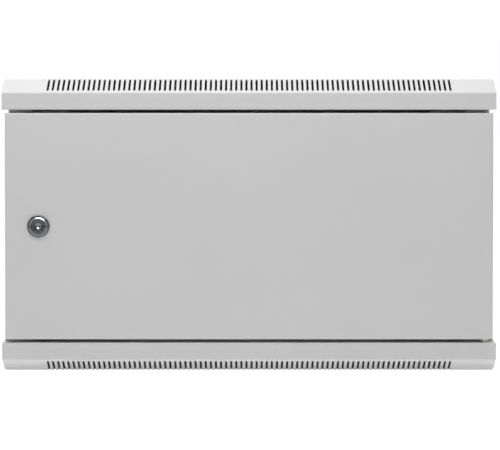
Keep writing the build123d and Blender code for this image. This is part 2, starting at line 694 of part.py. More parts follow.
def side_panel():
    """The right-hand side panel: a pan with tongues below and a hole for its lock."""
    inner_x = BODY_HALF - SIDE_PANEL_FLANGE
    outer = block(inner_x, BODY_HALF, PANEL_FRONT, PANEL_BACK, PANEL_BOTTOM, PANEL_TOP)
    outer = fillet(outer.faces().sort_by(Axis.X)[-1].edges(), BEND)
    inner = block(
        inner_x - OVERCUT, BODY_HALF - SHEET,
        PANEL_FRONT + SHEET, PANEL_BACK - SHEET,
        PANEL_BOTTOM + SHEET, PANEL_TOP - SHEET,
    )
    inner = fillet(inner.faces().sort_by(Axis.X)[-1].edges(), BEND - SHEET)
    panel = outer - inner
    for y in (PANEL_FRONT + TONGUE_INSET, PANEL_BACK - TONGUE_INSET):
        panel += block(
            BODY_HALF - SHEET, BODY_HALF,
            y - TONGUE_WIDTH / 2, y + TONGUE_WIDTH / 2,
            PANEL_BOTTOM - TONGUE_DROP, PANEL_BOTTOM + 2 * BEND,
        )
    lock = (BODY_HALF - SHEET - OVERCUT, SIDE_LOCK_Y, SIDE_LOCK_Z)
    return panel - bar(lock, (1, 0, 0), 2 * OVERCUT + SHEET, LOCK_BODY_RADIUS + RUNNING)


def rack_rail(rail_y, toward):
    """A right-hand 19-inch rail; toward is the direction of its side flange along Y."""
    bottom = RACK_BOTTOM - RAIL_OVERHANG
    length = RACK_UNITS * RACK_UNIT + 2 * RAIL_OVERHANG
    points = (
        (RACK_HOLE_X - RACK_HOLE_INSET, 0),
        (RAIL_OUTER, 0),
        (RAIL_OUTER, RAIL_FLANGE),
    )
    rail = folded(points[::-1], FRAME_SHEET, bottom, length)
    holes = []
    for unit in range(RACK_UNITS):
        for rise in RACK_HOLE_OFFSETS:
            z = RACK_BOTTOM + unit * RACK_UNIT + rise
            holes.append(Pos(RACK_HOLE_X, 0, z) * Box(RACK_HOLE_SIDE, 2 * OVERCUT, RACK_HOLE_SIDE))
    for z in BOLT_HEIGHTS:
        start = (RAIL_OUTER - OVERCUT, RAIL_FLANGE / 2, z)
        holes.append(stem(start, (1, 0, 0), 2 * OVERCUT, BOLT_RADIUS + SCREW_HOLE_PLAY))
    rail -= holes
    if toward < 0:
        rail = mirror(rail, Plane.XZ)
    return Pos(0, rail_y, 0) * rail


def rail_bolts(rail_y, toward):
    """The bolts that hold a pair of rack rails to the depth rails."""
    y = rail_bolt_y(rail_y, toward)
    face = RAIL_OUTER - FRAME_SHEET
    length = POST_INNER + NUT_HEIGHT + BOLT_END - face
    bolts = []
    for z in BOLT_HEIGHTS:
        head = hexagon((face, y, z), (-1, 0, 0), BOLT_HEAD_HEIGHT, BOLT_FLATS)
        bolt = head + stem((face, y, z), (1, 0, 0), length, BOLT_RADIUS)
        bolts += [bolt, other_side(bolt)]
    return Compound(bolts)


def rail_nuts(rail_y, toward):
    """The nuts of those bolts, behind the depth rails."""
    y = rail_bolt_y(rail_y, toward)
    nuts = []
    for z in BOLT_HEIGHTS:
        one = small_nut((POST_INNER, y, z), (1, 0, 0))
        nuts += [one, other_side(one)]
    return Compound(nuts)


def cage_places():
    """The square holes that hold cage nuts: the outer two of the lowest rack unit, on both rails."""
    heights = (RACK_BOTTOM + RACK_HOLE_OFFSETS[0], RACK_BOTTOM + RACK_HOLE_OFFSETS[-1])
    return [(side * RACK_HOLE_X, z) for side in (-1, 1) for z in heights]


def cage_nut_cages():
    """The spring-steel cages: a box behind the rail with two lugs through the square hole."""
    back = FRONT_RAIL_Y + FRAME_SHEET
    half = CAGE_SIDE / 2
    room = CAGE_NUT_SIDE / 2 + CAGE_PLAY
    lug = RACK_HOLE_SIDE / 2 - CAGE_PLAY / 2
    cages = []
    for x, z in cage_places():
        cage = block(x - half, x + half, back, back + CAGE_DEPTH, z - half, z + half)
        cage -= block(x - room, x + room, back, back + CAGE_DEPTH - CAGE_SHEET, z - half, z + half)
        cage -= stem((x, back, z), (0, 1, 0), CAGE_DEPTH, CAGE_THREAD_RADIUS + 2 * CAGE_PLAY)
        for side in (-1, 1):
            edge = x + side * lug
            inside = edge - side * CAGE_SHEET
            low, high = min(edge, inside), max(edge, inside)
            cage += block(low, high, FRONT_RAIL_Y, back + CAGE_SHEET, z - lug, z + lug)
            outer = x + side * half
            low, high = min(inside, outer), max(inside, outer)
            cage += block(low, high, back, back + CAGE_SHEET, z - lug, z + lug)
        cages.append(cage)
    return Compound(cages)


def cage_nuts():
    """The square nuts that float in the cages."""
    front = FRONT_RAIL_Y + FRAME_SHEET + CAGE_SHEET + CAGE_PLAY / 3
    half = CAGE_NUT_SIDE / 2
    height = CAGE_DEPTH - 2 * CAGE_SHEET - CAGE_PLAY
    nuts = []
    for x, z in cage_places():
        body = block(x - half, x + half, front, front + height, z - half, z + half)
        nuts.append(body - bar((x, front, z), (0, 1, 0), height, CAGE_THREAD_RADIUS))
    return Compound(nuts)


def earth_stud():
    """The earth stud welded to the bottom cover."""
    start = (EARTH_FROM_SIDE - BODY_HALF, BACK - EARTH_FROM_BACK, FLOOR)
    return stem(start, (0, 0, 1), STUD_LENGTH, BOLT_RADIUS)


def earth_nut():
    """The nut on the earth stud."""
    start = (EARTH_FROM_SIDE - BODY_HALF, BACK - EARTH_FROM_BACK, FLOOR)
    return small_nut(start, (0, 0, 1))


def door_earth_stud():
    """The earth stud welded inside the door near its hinge."""
    height = DOOR_BOTTOM + DOOR_RETURN + DOOR_EARTH_HEIGHT
    start = (HINGE_X - DOOR_EARTH_FROM_HINGE, FRONT + SHEET, height)
    return stem(start, (0, 1, 0), STUD_LENGTH, BOLT_RADIUS)


def both_sides(name, piece):
    """A right-hand piece and its mirror image, named for their sides."""
    return {name + "_left": other_side(piece), name + "_right": piece}


def all_parts():
    """Every piece of the cabinet by name."""
    cover = plain_cover()
    parts = {
        "bottom_cover": cover,
        "top_cover": upside_down(cover) - fan_grille(),
        "rear_panel": rear_panel(),
        "rear_panel_screws": rear_screws(),
        "bottom_cable_cover": cable_cover(),
        "top_cable_cover": upside_down(cable_cover()),
        "bottom_cable_screws": cable_screws(),
        "top_cable_screws": upside_down(cable_screws()),
        "lower_hinge_pin": lower_hinge_pin(),
        "hinge_washer": hinge_washer(),
        "earth_stud": earth_stud(),
        "earth_nut": earth_nut(),
        "door_panel": door_panel(),
        "door_stiffener": door_stiffener(),
        "upper_hinge_bracket": upper_hinge_bracket(),
        "lower_hinge_bush": lower_hinge_bush(),
        "door_earth_stud": door_earth_stud(),
        "upper_hinge_pin": upper_hinge_pin(),
        "hinge_spring": hinge_spring(),
        "front_rail_bolts": rail_bolts(FRONT_RAIL_Y, 1),
        "front_rail_nuts": rail_nuts(FRONT_RAIL_Y, 1),
        "rear_rail_bolts": rail_bolts(REAR_RAIL_Y, -1),
        "rear_rail_nuts": rail_nuts(REAR_RAIL_Y, -1),
        "cage_nut_cages": cage_nut_cages(),
        "cage_nuts": cage_nuts(),
    }
    parts.update(both_sides("front_post", front_post()))
    parts.update(both_sides("rear_post", rear_post()))
    parts.update(both_sides("depth_rail_lower", depth_rail(LOWER_RAIL_Z)))
    parts.update(both_sides("depth_rail_upper", depth_rail(UPPER_RAIL_Z)))
    parts.update(both_sides("side_sill", side_sill()))
    parts.update(both_sides("side_header", side_header()))
    parts.update(both_sides("side_panel", side_panel()))
    parts.update(both_sides("front_rail", rack_rail(FRONT_RAIL_Y, 1)))
    parts.update(both_sides("rear_rail", rack_rail(REAR_RAIL_Y, -1)))
    door_plane = Plane((LOCK_FROM_EDGE - DOOR_HALF, FRONT, MIDDLE), x_dir=(1, 0, 0), z_dir=(0, -1, 0))
    parts.update(lock_parts("door_", door_plane, CAM_DEPTH, CAM_REACH, 0))
    side_plane = Plane((BODY_HALF, SIDE_LOCK_Y, SIDE_LOCK_Z), x_dir=(0, 1, 0), z_dir=(1, 0, 0))
    side_lock = lock_parts("right_", side_plane, SIDE_CAM_DEPTH, SIDE_CAM_REACH, -90)
    parts.update(side_lock)
    for name, piece in side_lock.items():
        parts[name.replace("right_", "left_")] = other_side(piece)
    return parts


os.makedirs("parts", exist_ok=True)
for name, piece in all_parts().items():
    export_step(piece, f"parts/{name}.step")
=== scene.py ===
import json
import math
import bpy
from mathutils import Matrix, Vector


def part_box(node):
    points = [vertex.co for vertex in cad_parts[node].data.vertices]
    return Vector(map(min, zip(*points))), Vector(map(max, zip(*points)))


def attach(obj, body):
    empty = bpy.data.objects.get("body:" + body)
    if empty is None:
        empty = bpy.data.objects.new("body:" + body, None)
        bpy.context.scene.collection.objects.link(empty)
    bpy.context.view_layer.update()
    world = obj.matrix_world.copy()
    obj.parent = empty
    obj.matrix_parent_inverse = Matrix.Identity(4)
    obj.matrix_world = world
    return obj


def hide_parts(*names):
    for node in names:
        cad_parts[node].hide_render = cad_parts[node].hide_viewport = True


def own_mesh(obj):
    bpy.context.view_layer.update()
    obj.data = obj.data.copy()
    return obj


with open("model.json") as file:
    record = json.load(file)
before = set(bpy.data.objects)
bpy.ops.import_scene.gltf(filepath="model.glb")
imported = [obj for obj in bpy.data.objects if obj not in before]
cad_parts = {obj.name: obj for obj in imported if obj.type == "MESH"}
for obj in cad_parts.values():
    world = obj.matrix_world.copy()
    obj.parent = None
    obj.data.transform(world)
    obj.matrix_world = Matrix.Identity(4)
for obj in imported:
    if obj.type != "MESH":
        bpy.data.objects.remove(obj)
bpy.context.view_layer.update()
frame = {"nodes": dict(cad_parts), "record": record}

# The covers
# Two folded pans of 1.2 mm sheet steel, the slope punched with slots before it was bent,
# then degreased, sprayed with polyester powder and baked: an even, slightly pebbled skin.
MM = 0.001


def linear(hex_colour):
    """An sRGB hex colour as linear red, green, blue and alpha."""
    channels = []
    for start in (0, 2, 4):
        value = int(hex_colour[start:start + 2], 16) / 255
        channels.append(value / 12.92 if value <= 0.04045 else ((value + 0.055) / 1.055) ** 2.4)
    return (*channels, 1.0)


def add(tree, kind, settings=None, links=None):
    """Adds a shader node. A setting is a socket, by name or number, or else a property."""
    made = tree.nodes.new(kind)
    for key, value in (settings or {}).items():
        if isinstance(key, int) or key in made.inputs:
            made.inputs[key].default_value = value
        else:
            setattr(made, key, value)
    for key, (source, output) in (links or {}).items():
        tree.links.new(source.outputs[output], made.inputs[key])
    return made


def new_material(name):
    """An empty node material and its tree."""
    material = bpy.data.materials.new(name)
    material.use_nodes = True
    material.node_tree.nodes.clear()
    return material, material.node_tree


def powder_coat(name, colour, pale, roughness, weld_column=None):
    """Baked polyester powder on steel: satin, with the orange peel of the melt and a finer grain.

    Where a weld column is given, round spot-weld dimples stand that far each side of the middle.
    """
    # The real peel is about 1.3 mm across and its grain 0.3 mm, so both are drawn coarser to show.
    drift_mm, peel_mm, grain_mm = 140.0, 3.2, 1.2
    peel_height_mm, grain_height_mm = 0.05, 0.02
    material, tree = new_material(name)
    place = add(tree, "ShaderNodeTexCoord")
    spot = {"Vector": (place, "Object")}
    drift = add(tree, "ShaderNodeTexNoise", {"Scale": 1 / (drift_mm * MM), "Detail": 3.0}, spot)
    peel = add(tree, "ShaderNodeTexNoise", {"Scale": 1 / (peel_mm * MM), "Detail": 1.0}, spot)
    grain = add(tree, "ShaderNodeTexNoise", {"Scale": 1 / (grain_mm * MM), "Detail": 1.0}, spot)
    tint = add(
        tree, "ShaderNodeMix", {"data_type": "RGBA", 6: linear(colour), 7: linear(pale)},
        {0: (drift, "Fac")},
    )
    satin = add(
        tree, "ShaderNodeMapRange",
        {"From Min": 0.3, "From Max": 0.7, "To Min": roughness - 0.05, "To Max": roughness + 0.06},
        {"Value": (grain, "Fac")},
    )
    relief = add(
        tree, "ShaderNodeBump", {"Strength": 0.35, "Distance": peel_height_mm * MM},
        {"Height": (peel, "Fac")},
    )
    if weld_column:
        weld_pitch_mm, weld_mm, dent_mm = 40.0, 2.5, 0.12
        axes = add(tree, "ShaderNodeSeparateXYZ", links={0: (place, "Object")})
        aside = add(tree, "ShaderNodeMath", {"operation": "ABSOLUTE"}, {0: (axes, "X")})
        across = add(tree, "ShaderNodeMath", {"operation": "SUBTRACT", 1: weld_column}, {0: (aside, 0)})
        along = add(
            tree, "ShaderNodeMath", {"operation": "PINGPONG", 1: weld_pitch_mm * MM / 2}, {0: (axes, "Z")},
        )
        offset = add(tree, "ShaderNodeCombineXYZ", links={0: (across, 0), 1: (along, 0)})
        away = add(tree, "ShaderNodeVectorMath", {"operation": "LENGTH"}, {0: (offset, 0)})
        dent = add(
            tree, "ShaderNodeMapRange",
            {"interpolation_type": "SMOOTHSTEP", "From Min": 0.6 * weld_mm * MM, "From Max": weld_mm * MM},
            {"Value": (away, "Value")},
        )
        relief = add(
            tree, "ShaderNodeBump", {"Strength": 1.0, "Distance": dent_mm * MM},
            {"Height": (dent, "Result"), "Normal": (relief, "Normal")},
        )
    fine = add(
        tree, "ShaderNodeBump", {"Strength": 0.3, "Distance": grain_height_mm * MM},
        {"Height": (grain, "Fac"), "Normal": (relief, "Normal")},
    )
    shader = add(
        tree, "ShaderNodeBsdfPrincipled", {"IOR": 1.5, "Metallic": 0.0},
        {"Base Color": (tint, 2), "Roughness": (satin, "Result"), "Normal": (fine, "Normal")},
    )
    add(tree, "ShaderNodeOutputMaterial", links={"Surface": (shader, "BSDF")})
    return material


def finish(names, material):
    """Gives CAD nodes their material."""
    for name in names:
        mesh = frame["nodes"][name].data
        mesh.materials.clear()
        mesh.materials.append(material)


# A light neutral grey with a soft sheen, the same from edge to edge.
panel_coat = powder_coat("polyester_powder_coat_light_grey", "CDCDCD", "D1D1D1", 0.45)
finish(("bottom_cover", "top_cover", "bottom_cable_cover", "top_cable_cover"), panel_coat)


# The frame
# Posts, sills, headers and depth rails folded from 1.5 mm sheet, spot-welded to the covers and
# sprayed with the same powder, a little less of which reaches the faces that look inwards.

# A shade darker and duller than the panels.
frame_coat = powder_coat("polyester_powder_coat_frame", "C6C6C6", "CBCBCB", 0.5)
sides = ("_left", "_right")
frame_pieces = (
    "front_post", "rear_post", "side_sill", "side_header", "depth_rail_lower", "depth_rail_upper",
)
finish([piece + side for piece in frame_pieces for side in sides], frame_coat)


# The rear panel and its screws
# A flat 1.5 mm sheet with keyholes, held by six M5 pan-head screws with a cross recess,
# cold-headed from wire, their threads rolled, and plated with bright zinc.
SCREW_HEAD = 4.4 * MM
SCREW_HEAD_HEIGHT = 1.6 * MM
RECESS_LENGTH = 4.8 * MM
RECESS_WIDTH = 1.0 * MM
RECESS_DEPTH = 1.1 * MM
SCREW_RADIUS = 2.5 * MM
SCREW_PITCH = 0.8 * MM
SHARP_FROM = math.radians(35)


def turned(rows, corners, bored=False):
    """A skin round Z from rows of height and radius, where a radius may be a rule for each angle.

    Its ends are closed flat, or joined to each other where the rows come back through a bore.
    """
    points = []
    for height, radius in rows:
        for k in range(corners):
            angle = 2 * math.pi * k / corners
            reach = radius(angle) if callable(radius) else radius
            points.append(Vector((reach * math.cos(angle), reach * math.sin(angle), height)))
    faces = []
    for row in range(len(rows) if bored else len(rows) - 1):
        low = row * corners
        high = (row + 1) % len(rows) * corners
        for k in range(corners):
            after = (k + 1) % corners
            faces.append((low + k, low + after, high + after, high + k))
    if not bored:
        faces.append(tuple(reversed(range(corners))))
        faces.append(tuple(range((len(rows) - 1) * corners, len(rows) * corners)))
    return points, faces


def threaded(radius, pitch, length):
    """A shank with a rolled screw thread that dies out at its blunt end. It runs up from Z = 0."""
    depth = 0.6 * pitch
    steps_per_turn, corners = 8, 20
    rows = []
    for step in range(round(length / pitch * steps_per_turn) + 1):
        height = min(step * pitch / steps_per_turn, length)
        fade = min(1.0, (length - height) / pitch)

        def reach(angle, height=height, fade=fade):
            phase = (height / pitch - angle / (2 * math.pi)) % 1.0
            crest = 1 - abs(2 * phase - 1)
            return radius - depth * (1 - fade * crest)

        rows.append((height, reach))
    return turned(rows, corners)


def set_at(shape, place, direction):
    """A shape moved to a place, with its Z along a direction."""
    turn = Vector((0, 0, 1)).rotation_difference(Vector(direction)).to_matrix()
    return [turn @ point + Vector(place) for point in shape[0]], shape[1]


def joined(shapes):
    """Several shapes as one."""
    points, faces = [], []
    for some_points, some_faces in shapes:
        start = len(points)
        points += some_points
        faces += [tuple(start + corner for corner in face) for face in some_faces]
    return points, faces


def as_mesh(name, shape):
    """A mesh from points and faces, smooth but for its sharp edges."""
    mesh = bpy.data.meshes.new(name)
    mesh.from_pydata(shape[0], [], shape[1])
    mesh.update()
    mesh.shade_smooth()
    mesh.set_sharp_from_angle(angle=SHARP_FROM)
    return mesh


def stands_for(node, shape, material):
    """A piece that takes the place of a CAD node, on the same body, with the material it is given."""
    body = next(body for body, held in frame["record"]["behaviour"]["bodies"].items() if node in held)
    piece = bpy.data.objects.new(node + "_made", as_mesh(node + "_made", shape))
    bpy.context.scene.collection.objects.link(piece)
    piece.data.materials.append(material)
    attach(piece, body)
    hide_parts(node)
    return piece


def carved(shape, cutters):
    """A shape with others cut out of it."""
    worked = bpy.data.objects.new("worked", as_mesh("worked", shape))
    bpy.context.scene.collection.objects.link(worked)
    tools = []
    for cutter in cutters:
        tool = bpy.data.objects.new("tool", as_mesh("tool", cutter))
        bpy.context.scene.collection.objects.link(tool)
        cut = worked.modifiers.new("cut", "BOOLEAN")
        cut.operation = "DIFFERENCE"
        cut.solver = "EXACT"
        cut.object = tool
        tools.append(tool)
    bpy.context.view_layer.update()
    result = bpy.data.meshes.new_from_object(worked.evaluated_get(bpy.context.evaluated_depsgraph_get()))
    points = [vertex.co.copy() for vertex in result.vertices]
    faces = [tuple(polygon.vertices) for polygon in result.polygons]
    for spare in (worked, *tools):
        bpy.data.objects.remove(spare)
    return points, faces


def wedge(size, taper):
    """A cutter of this length, width and depth at Z = 0, narrowing by its tapers farther down."""
    points = []
    for height, (share_x, share_y) in ((-size[2], taper), (size[2], [2 - share for share in taper])):
        for x, y in ((-1, -1), (1, -1), (1, 1), (-1, 1)):
            points.append(Vector((x * share_x * size[0] / 2, y * share_y * size[1] / 2, height)))
    return points, [(3, 2, 1, 0), (4, 5, 6, 7), (0, 1, 5, 4), (1, 2, 6, 5), (2, 3, 7, 6), (3, 0, 4, 7)]


def pan_head(radius, height):
    """A pan head standing on Z = 0: a short rim, a rounded shoulder and a nearly flat crown."""
    rim, crown, flat, steps, corners = 0.25, 0.45, 0.3, 8, 40
    rows = [(0.0, radius), (rim * height, radius)]
    for step in range(1, steps):
        angle = math.pi / 2 * step / steps
        rise = rim + (1 - rim) * math.sin(angle)
        rows.append((height * rise, radius * (crown + (1 - crown) * math.cos(angle))))
    rows.append((height, flat * radius))
    narrowing = 0.45
    arms = (
        wedge((RECESS_LENGTH, RECESS_WIDTH, RECESS_DEPTH), (narrowing, 1)),
        wedge((RECESS_WIDTH, RECESS_LENGTH, RECESS_DEPTH), (1, narrowing)),
    )
    return carved(turned(rows, corners), [set_at(arm, (0, 0, height), (0, 0, 1)) for arm in arms])


def zinc_plate(name, colour, dark, roughness, streak=1.0):
    """Zinc plating over steel: a soft grey metal with a faint mottle, drawn out where it was rolled."""
    mottle_mm, scratch_mm, scratch_depth_mm = 6.0, 1.5, 0.02
    material, tree = new_material(name)
    place = add(tree, "ShaderNodeTexCoord")
    drawn = add(tree, "ShaderNodeMapping", {"Scale": (1, 1, streak)}, {"Vector": (place, "Object")})
    spot = {"Vector": (drawn, "Vector")}
    mottle = add(tree, "ShaderNodeTexNoise", {"Scale": 1 / (mottle_mm * MM), "Detail": 5.0}, spot)
    scratch = add(tree, "ShaderNodeTexNoise", {"Scale": 1 / (scratch_mm * MM), "Detail": 3.0}, spot)
    tint = add(
        tree, "ShaderNodeMix", {"data_type": "RGBA", 6: linear(colour), 7: linear(dark)},
        {0: (mottle, "Fac")},
    )
    sheen = add(
        tree, "ShaderNodeMapRange",
        {"From Min": 0.3, "From Max": 0.7, "To Min": roughness - 0.06, "To Max": roughness + 0.08},
        {"Value": (scratch, "Fac")},
    )
    relief = add(
        tree, "ShaderNodeBump", {"Strength": 0.15, "Distance": scratch_depth_mm * MM},
        {"Height": (scratch, "Fac")},
    )
    shader = add(
        tree, "ShaderNodeBsdfPrincipled", {"Metallic": 1.0},
        {"Base Color": (tint, 2), "Roughness": (sheen, "Result"), "Normal": (relief, "Normal")},
    )
    add(tree, "ShaderNodeOutputMaterial", links={"Surface": (shader, "BSDF")})
    return material


finish(("rear_panel",), panel_coat)
# Cool and bright, with small sharp highlights on heads and threads.
bright_zinc = zinc_plate("bright_zinc_plated_steel", "CBCDD0", "B4B7BB", 0.27)
screw_head = pan_head(SCREW_HEAD, SCREW_HEAD_HEIGHT)


def screw_set(node, places, direction):
    """The screws of one node: each place is the middle of the face that its head rests on."""
    low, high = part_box(node)
    axis = next(i for i in range(3) if direction[i])
    length = high[axis] - low[axis] - SCREW_HEAD_HEIGHT
    into = [-step for step in direction]
    shank = threaded(SCREW_RADIUS, SCREW_PITCH, length)
    shapes = []
    for place in places:
        shapes += [set_at(screw_head, place, direction), set_at(shank, place, into)]
    stands_for(node, joined(shapes), bright_zinc)


low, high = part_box("rear_panel_screws")
rear_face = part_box("rear_panel")[1][1]
edge_low, edge_high = low[2] + SCREW_HEAD, high[2] - SCREW_HEAD
rear_places = []
for x in (low[0] + SCREW_HEAD, high[0] - SCREW_HEAD):
    for z in (edge_low, (edge_low + edge_high) / 2, edge_high):
        rear_places.append((x, rear_face, z))
screw_set("rear_panel_screws", rear_places, (0, 1, 0))


# The cable entry plates
# Each cover's rear cable entry is closed from inside by a small sheet plate on four of the
# same screws, so that it can be taken off where cables come in.
for cover, up in (("bottom", 1), ("top", -1)):
    low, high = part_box(cover + "_cable_screws")
    plate_low, plate_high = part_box(cover + "_cable_cover")
    seat = plate_high[2] if up > 0 else plate_low[2]
    places = []
    for x in (low[0] + SCREW_HEAD, high[0] - SCREW_HEAD):
        for y in (low[1] + SCREW_HEAD, high[1] - SCREW_HEAD):
            places.append((x, y, seat))
    screw_set(cover + "_cable_screws", places, (0, 0, up))


# The 19-inch rails and their bolts
# Angle rails roll-formed from pre-plated strip, left bare so that the equipment is earthed
# through them. M6 hexagon bolts and nuts clamp them to the slotted depth rails.
BOLT_FLATS = 10.0 * MM
BOLT_HEAD_HEIGHT = 4.0 * MM
NUT_HEIGHT = 5.0 * MM
BOLT_RADIUS = 3.0 * MM
BOLT_PITCH = 1.0 * MM
NUT_BORE = 2.7 * MM
RAIL_SHEET = 1.5 * MM
CORNER_DROP = math.radians(30)
# Duller than the screws, with faint streaks along the rolling.
rail_zinc = zinc_plate("rolled_zinc_plated_strip", "C6C8CA", "B2B5B8", 0.36, streak=0.08)
finish([piece + side for piece in ("front_rail", "rear_rail") for side in sides], rail_zinc)


def flat_sided(sides, flats, limit):
    """The rule for a turned bar with flats on it, its corners no farther out than a limit."""
    def reach(angle):
        from_flat = (angle + math.pi / sides) % (2 * math.pi / sides) - math.pi / sides
        return min(flats / 2 / math.cos(from_flat), limit)
    return reach


def hexagonal(flats, height, bore=None, both_ends=True):
    """A hexagonal head or nut on Z = 0, its corners turned down at 30 degrees, bored if it is a nut."""
    corner = flats / math.sqrt(3)
    seat = 0.95 * flats / 2
    drop = (corner - seat) * math.tan(CORNER_DROP)
    steps, corners = 4, 48
    turned_down = []
    for i in range(steps + 1):
        turned_down.append((drop * i / steps, flat_sided(6, flats, seat + (corner - seat) * i / steps)))
    rows = turned_down if both_ends else [(0.0, flat_sided(6, flats, corner))]
    rows = rows + [(height - rise, rule) for rise, rule in reversed(turned_down)]
    if bore:
        lead = 0.06 * bore
        rows += [(height, bore + lead), (height - lead, bore), (lead, bore), (0.0, bore + lead)]
    return turned(rows, corners, bored=bool(bore))


rail_bolt_heights = []
for level in ("lower", "upper"):
    low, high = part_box("depth_rail_" + level + "_right")
    rail_bolt_heights.append((low[2] + high[2]) / 2)
bolt_head = hexagonal(BOLT_FLATS, BOLT_HEAD_HEIGHT, both_ends=False)
bolt_nut = hexagonal(BOLT_FLATS, NUT_HEIGHT, bore=NUT_BORE)
for pair in ("front", "rear"):
    low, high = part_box(pair + "_rail_bolts")
    nuts_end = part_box(pair + "_rail_nuts")[1][0]
    middle = (low[1] + high[1]) / 2
    under_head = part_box(pair + "_rail_right")[1][0] - RAIL_SHEET
    bolt_shank = threaded(BOLT_RADIUS, BOLT_PITCH, high[0] - under_head)
    bolts, nuts = [], []
    for z in rail_bolt_heights:
        for side in (-1, 1):
            seat = (side * under_head, middle, z)
            bolts += [set_at(bolt_head, seat, (-side, 0, 0)), set_at(bolt_shank, seat, (side, 0, 0))]
            nut_seat = (side * (nuts_end - NUT_HEIGHT), middle, z)
            nuts.append(set_at(bolt_nut, nut_seat, (side, 0, 0)))
    stands_for(pair + "_rail_bolts", joined(bolts), bright_zinc)
    stands_for(pair + "_rail_nuts", joined(nuts), bright_zinc)


# The cage nuts
# Square M6 nuts held loose in cages of thin spring steel that snap into the square holes.
# The cages are blued in tempering and left bare, the nuts plated like the bolts.

# Dark grey from the tempering, with a dull shine.
spring_steel = zinc_plate("blued_spring_steel", "8E8F91", "737476", 0.33)
finish(("cage_nut_cages",), spring_steel)
finish(("cage_nuts",), bright_zinc)


# The earth studs
# M6 studs for the earth leads, welded to the bottom cover and the door after coating, so that
# their plated threads stay bare. The cover's stud holds its nut.
low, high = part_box("earth_stud")
stud = threaded(BOLT_RADIUS, BOLT_PITCH, high[2] - low[2])
foot = ((low[0] + high[0]) / 2, (low[1] + high[1]) / 2, low[2])
stands_for("earth_stud", set_at(stud, foot, (0, 0, 1)), bright_zinc)
stands_for("earth_nut", set_at(bolt_nut, foot, (0, 0, 1)), bright_zinc)
low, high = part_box("door_earth_stud")
foot = ((low[0] + high[0]) / 2, low[1], (low[2] + high[2]) / 2)
stands_for("door_earth_stud", set_at(stud, foot, (0, 1, 0)), bright_zinc)


# The door
# A pan of 1.2 mm sheet with its edges folded back and in, coated like the covers, and a
# hat-shaped stiffener spot-welded up its back before coating, so the welds show as dimples.
finish(("door_panel",), panel_coat)
stiffener_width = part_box("door_stiffener")[1][0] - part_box("door_stiffener")[0][0]
FOOT_WIDTH = 12.0 * MM
foot_middle = stiffener_width / 2 - FOOT_WIDTH / 2
# The frame's coat over the dents that the welding tips left.
welded_coat = powder_coat("polyester_powder_coat_spot_welded", "C6C6C6", "CBCBCB", 0.5, foot_middle)
finish(("door_stiffener",), welded_coat)


# The door's hinge
# A fixed pin below and a sprung pin above that a thumb handle draws back, both of turned
# and zinc-plated steel, with a moulded nylon washer and bush under the door's weight.
SPRING_WIRE = 0.8 * MM
SPRING_RADIUS = 3.4 * MM
SPRING_TURNS = 7
CLOSED_TURNS = 1.0
POINTS_PER_TURN = 20
WIRE_SIDES = 8


def moulded_nylon(name, colour):
    """Natural nylon, injection-moulded: soft, waxy and faintly uneven."""
    cloud_mm, cloud_height_mm, glow_depth_mm = 2.0, 0.03, 1.0
    material, tree = new_material(name)
    place = add(tree, "ShaderNodeTexCoord")
    spot = {"Vector": (place, "Object")}
    cloud = add(tree, "ShaderNodeTexNoise", {"Scale": 1 / (cloud_mm * MM), "Detail": 2.0}, spot)
    relief = add(
        tree, "ShaderNodeBump", {"Strength": 0.2, "Distance": cloud_height_mm * MM},
        {"Height": (cloud, "Fac")},
    )
    shader = add(
        tree, "ShaderNodeBsdfPrincipled",
        {"Base Color": linear(colour), "Roughness": 0.48, "IOR": 1.53, "Subsurface Weight": 0.1,
         "Subsurface Scale": glow_depth_mm * MM},
        {"Normal": (relief, "Normal")},
    )
    add(tree, "ShaderNodeOutputMaterial", links={"Surface": (shader, "BSDF")})
    return material


# Rubbed in their bores, so darker and hazier than the screws.
dull_zinc = zinc_plate("dull_zinc_plated_pin", "8F9193", "7C7E80", 0.42)
finish(("upper_hinge_pin", "lower_hinge_pin"), dull_zinc)
finish(("upper_hinge_bracket",), frame_coat)
# Off-white and waxy, with no sharp highlight.
nylon = moulded_nylon("moulded_natural_nylon", "D6D5CE")
finish(("hinge_washer", "lower_hinge_bush"), nylon)

low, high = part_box("hinge_spring")
axis_x, axis_y = (low[0] + high[0]) / 2, (low[1] + high[1]) / 2
wire_low, wire_high = low[2] + SPRING_WIRE / 2, high[2] - SPRING_WIRE / 2


def spring_height(turn):
    """The wire's height after a number of turns: closed at both ends, open between."""
    open_turns = SPRING_TURNS - 2 * CLOSED_TURNS
    closed_rise = CLOSED_TURNS * SPRING_WIRE
    open_rise = wire_high - wire_low - 2 * closed_rise
    if turn < CLOSED_TURNS:
        return wire_low + turn * SPRING_WIRE
    if turn > SPRING_TURNS - CLOSED_TURNS:
        return wire_high - (SPRING_TURNS - turn) * SPRING_WIRE
    return wire_low + closed_rise + (turn - CLOSED_TURNS) / open_turns * open_rise


wire_points, wire_faces = [], []
stations = SPRING_TURNS * POINTS_PER_TURN
for i in range(stations + 1):
    angle = 2 * math.pi * i / POINTS_PER_TURN
    out = Vector((math.cos(angle), math.sin(angle), 0))
    centre = Vector((axis_x, axis_y, spring_height(i / POINTS_PER_TURN))) + SPRING_RADIUS * out
    for k in range(WIRE_SIDES):
        round_angle = 2 * math.pi * k / WIRE_SIDES
        wire_points.append(
            centre + SPRING_WIRE / 2 * (math.cos(round_angle) * out + Vector((0, 0, math.sin(round_angle))))
        )
    if i:
        for k in range(WIRE_SIDES):
            after = (k + 1) % WIRE_SIDES
            last, this = (i - 1) * WIRE_SIDES, i * WIRE_SIDES
            wire_faces.append((last + k, this + k, this + after, last + after))
wire_faces.append(tuple(reversed(range(WIRE_SIDES))))
wire_faces.append(tuple(range(stations * WIRE_SIDES, (stations + 1) * WIRE_SIDES)))
spring = stands_for("hinge_spring", (wire_points, wire_faces), spring_steel)
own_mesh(spring)


